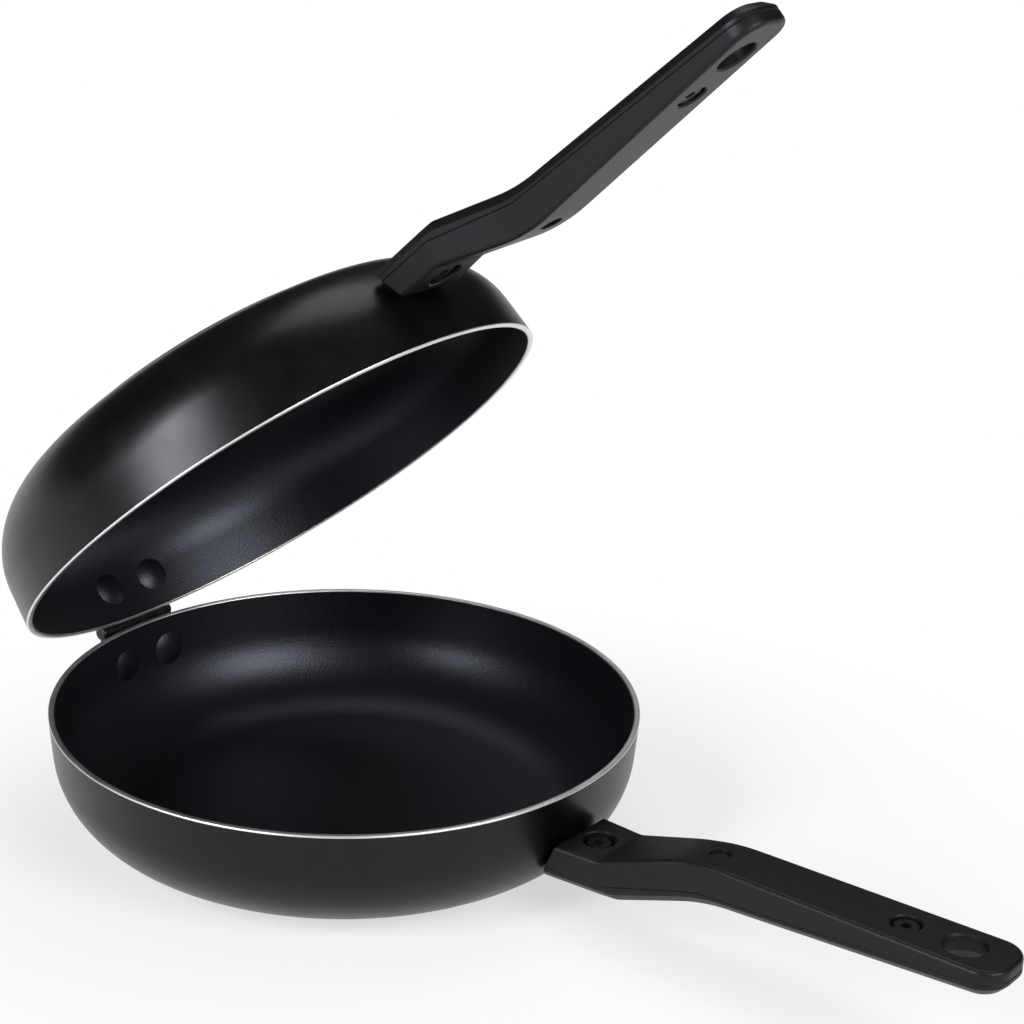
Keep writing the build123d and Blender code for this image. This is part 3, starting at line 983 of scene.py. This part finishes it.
@dataclass(frozen=True)
class NodeDress:
    """The finishes of the CAD nodes that are shown as they are.

    Attributes:
        each: finish of each node that both pans have.
        ringed: the same for nodes with rings about the pan's axis.
        shared: finish of each node that joins the pans.
    """

    each: dict[str, Finish] = field(
        default_factory=lambda: {
            "tang": BLACK_STEEL,
            "handle_screws": BLACK_STEEL,
            "handle_washers": BLACK_STEEL,
            "handle_nuts": BLACK_STEEL,
            "hinge_leaf": BLACK_STEEL,
            "hinge_rivets": INNER_COAT,
        }
    )
    ringed: dict[str, Finish] = field(default_factory=lambda: {"foot": FOOT_STEEL})
    shared: dict[str, Finish] = field(
        default_factory=lambda: {"hinge_pin": BLACK_STEEL, "hinge_clip": BLACK_STEEL}
    )

    def build(self, frame: dict, book: FinishBook) -> None:
        """Give every CAD node its material.

        Args:
            book: the finishes.
        """
        nodes = frame["nodes"]
        for side in Side:
            for name, finish in self.each.items():
                self._dress(nodes[f"{side.value}_{name}"], book.get(finish))
            for name, finish in self.ringed.items():
                self._dress(nodes[f"{side.value}_{name}"], book.get(finish, side))
        for name, finish in self.shared.items():
            self._dress(nodes[name], book.get(finish))

    @staticmethod
    def _dress(node: bpy.types.Object, material: bpy.types.Material) -> None:
        """Put one material in all of a node's slots.

        Args:
            node: the CAD object.
            material: its material.
        """
        if not node.data.materials:
            node.data.materials.append(material)
        for slot in node.material_slots:
            slot.material = material


# --------------------------------------------------------------------------- camera, lights, floor


@dataclass(frozen=True)
class PhotoCamera:
    """The camera at the photograph's angle, in metres and degrees.

    Attributes:
        target: point on the floor that it looks at before its shift.
        distance: from there to the camera.
        azimuth: its direction seen from above, from +X.
        elevation: its height above the floor.
        roll: its turn about the line of sight.
        lens: focal length in millimetres.
        sensor: width of the sensor in millimetres.
        shift: sideways and upward shift of the frame, in frame widths.
    """

    target: Point = (-0.16669, 0.32426, 0.0)
    distance: float = 1.3582
    azimuth: float = -52.566
    elevation: float = 20.339
    roll: float = 1.8864
    lens: float = 86.4
    sensor: float = 36.0
    shift: tuple[float, float] = (0.001, 0.006)

    def build(self) -> bpy.types.Object:
        """Make the camera and set it as the scene's.

        Returns:
            The camera.
        """
        azimuth, elevation = math.radians(self.azimuth), math.radians(self.elevation)
        level = math.cos(elevation)
        back = Vector((level * math.cos(azimuth), level * math.sin(azimuth), math.sin(elevation)))
        right = (-back).cross(Vector((0, 0, 1))).normalized()
        turned = Matrix.Rotation(math.radians(self.roll), 3, back) @ right
        up = back.cross(turned)
        data = bpy.data.cameras.new("photo_camera")
        data.lens, data.sensor_width = self.lens, self.sensor
        data.shift_x, data.shift_y = self.shift
        camera = bpy.data.objects.new("photo_camera", data)
        pose = Matrix((turned, up, back)).transposed().to_4x4()
        pose.translation = Vector(self.target) + back * self.distance
        camera.matrix_world = pose
        bpy.context.scene.collection.objects.link(camera)
        bpy.context.scene.camera = camera
        return camera


@dataclass(frozen=True)
class SoftBox:
    """One rectangular studio light.

    Attributes:
        name: its name.
        place: its middle, in metres.
        aim: the point that it faces.
        size: its width and height in metres.
        power: its power in watts.
    """

    name: str
    place: Point
    aim: Point
    size: tuple[float, float]
    power: float

    def build(self) -> bpy.types.Object:
        """Make the light, turned to its aim.

        Returns:
            The light.
        """
        data = bpy.data.lights.new(self.name, "AREA")
        data.shape = "RECTANGLE"
        data.size, data.size_y = self.size
        data.energy = self.power
        light = bpy.data.objects.new(self.name, data)
        light.location = self.place
        away = Vector(self.aim) - Vector(self.place)
        light.rotation_euler = away.to_track_quat("-Z", "Y").to_euler()
        bpy.context.scene.collection.objects.link(light)
        return light


@dataclass(frozen=True)
class Studio:
    """Pale floor that runs past the frame, soft boxes and a dim surround.

    Attributes:
        floor_half: half the floor's side.
        floor_tone: the floor's own lightness.
        floor_roughness: its roughness.
        near_white: share of plain white in the floor's look near the pans; the rest takes shadow.
        shade_centre: middle of the stretch of floor that takes shadow.
        fade_from: distance from there where the floor starts to turn plain white.
        fade_to: distance from there where it is plain white.
        surround: strength of the room's light.
        lights: the lamps.
    """

    floor_half: float = 30.0
    floor_tone: float = 0.92
    floor_roughness: float = 0.9
    near_white: float = 0.62
    shade_centre: Point = (0.09, -0.05, 0.0)
    fade_from: float = 0.15
    fade_to: float = 0.34
    surround: float = 0.04
    lights: tuple[SoftBox, ...] = (
        SoftBox("back_box", (-0.42, 0.85, 2.2), (0.0, 0.0, 0.0), (1.5, 1.5), 16.0),
        SoftBox("left_box", (-0.17, -1.40, 0.86), (0.0, 0.0, 0.15), (0.38, 0.9), 21.0),
        SoftBox("right_box", (1.42, -0.2, 0.92), (0.0, 0.0, 0.15), (0.9, 0.85), 17.5),
    )

    def build(self) -> None:
        """Make the floor, the lights and the world."""
        for light in self.lights:
            light.build()
        self._world()
        mesh = bmesh.new()
        bmesh.ops.create_grid(mesh, x_segments=2, y_segments=2, size=self.floor_half)
        floor = make_piece("floor", mesh, Matrix.Identity(4), [self._floor_paint()])

    def _floor_paint(self) -> bpy.types.Material:
        """Mix a paint that keeps a light shadow near the pans and is plain white further out.

        Returns:
            The material.
        """
        material = bpy.data.materials.new("pale_floor")
        material.use_nodes = True
        tree = material.node_tree
        shader = tree.nodes["Principled BSDF"]
        shader.inputs["Base Color"].default_value = (*[self.floor_tone] * 3, 1.0)
        shader.inputs["Roughness"].default_value = self.floor_roughness
        shader.inputs["Specular IOR Level"].default_value = 0.0
        white = tree.nodes.new("ShaderNodeEmission")
        white.inputs["Strength"].default_value = 1.0
        reach = tree.nodes.new("ShaderNodeVectorMath")
        reach.operation = "DISTANCE"
        reach.inputs[1].default_value = self.shade_centre
        tree.links.new(tree.nodes.new("ShaderNodeTexCoord").outputs["Object"], reach.inputs[0])
        fade = tree.nodes.new("ShaderNodeMapRange")
        fade.interpolation_type = "SMOOTHSTEP"
        fade.inputs["From Min"].default_value = self.fade_from
        fade.inputs["From Max"].default_value = self.fade_to
        fade.inputs["To Min"].default_value = self.near_white
        tree.links.new(reach.outputs["Value"], fade.inputs["Value"])
        mix = tree.nodes.new("ShaderNodeMixShader")
        tree.links.new(self._seen(tree, fade.outputs["Result"]), mix.inputs["Fac"])
        tree.links.new(shader.outputs["BSDF"], mix.inputs[1])
        tree.links.new(white.outputs["Emission"], mix.inputs[2])
        tree.links.new(mix.outputs["Shader"], tree.nodes["Material Output"].inputs["Surface"])
        return material

    @staticmethod
    def _seen(tree: Tree, share: Socket) -> Socket:
        """Limit a share to the rays that show the floor, so that it lights nothing.

        Args:
            tree: the material's nodes.
            share: the share of plain white.

        Returns:
            The share for camera, glossy and transmission rays, and 0 for all others.
        """
        path = tree.nodes.new("ShaderNodeLightPath")
        total = path.outputs["Is Camera Ray"]
        for name in ("Is Glossy Ray", "Is Transmission Ray"):
            either = tree.nodes.new("ShaderNodeMath")
            either.operation = "MAXIMUM"
            tree.links.new(total, either.inputs[0])
            tree.links.new(path.outputs[name], either.inputs[1])
            total = either.outputs["Value"]
        product = tree.nodes.new("ShaderNodeMath")
        product.operation = "MULTIPLY"
        tree.links.new(total, product.inputs[0])
        tree.links.new(share, product.inputs[1])
        return product.outputs["Value"]

    def _world(self) -> None:
        """Make the room a dim grey."""
        world = bpy.data.worlds.new("studio")
        world.use_nodes = True
        back = world.node_tree.nodes["Background"]
        back.inputs["Color"].default_value = (1, 1, 1, 1)
        back.inputs["Strength"].default_value = self.surround
        bpy.context.scene.world = world


# --------------------------------------------------------------------------- all together


def main() -> None:
    """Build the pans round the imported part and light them."""
    logging.basicConfig(level=logging.INFO, format="%(message)s")
    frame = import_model()
    hinge = HingeFrame()
    book = FinishBook(hinge)
    PhotoCamera().build()
    LOG.info("camera placed")
    for side, pan in PANS.items():
        LOG.info("built %s", pan.build(side, hinge, book).name)
    for piece in HandleMould().build(hinge, book):
        LOG.info("built %s", piece.name)
    NodeDress().build(frame, book)
    LOG.info("dressed %d nodes", len(frame["nodes"]))
    Studio().build()
    bpy.context.scene.view_settings.view_transform = "Standard"


if __name__ == "__main__":
    main()
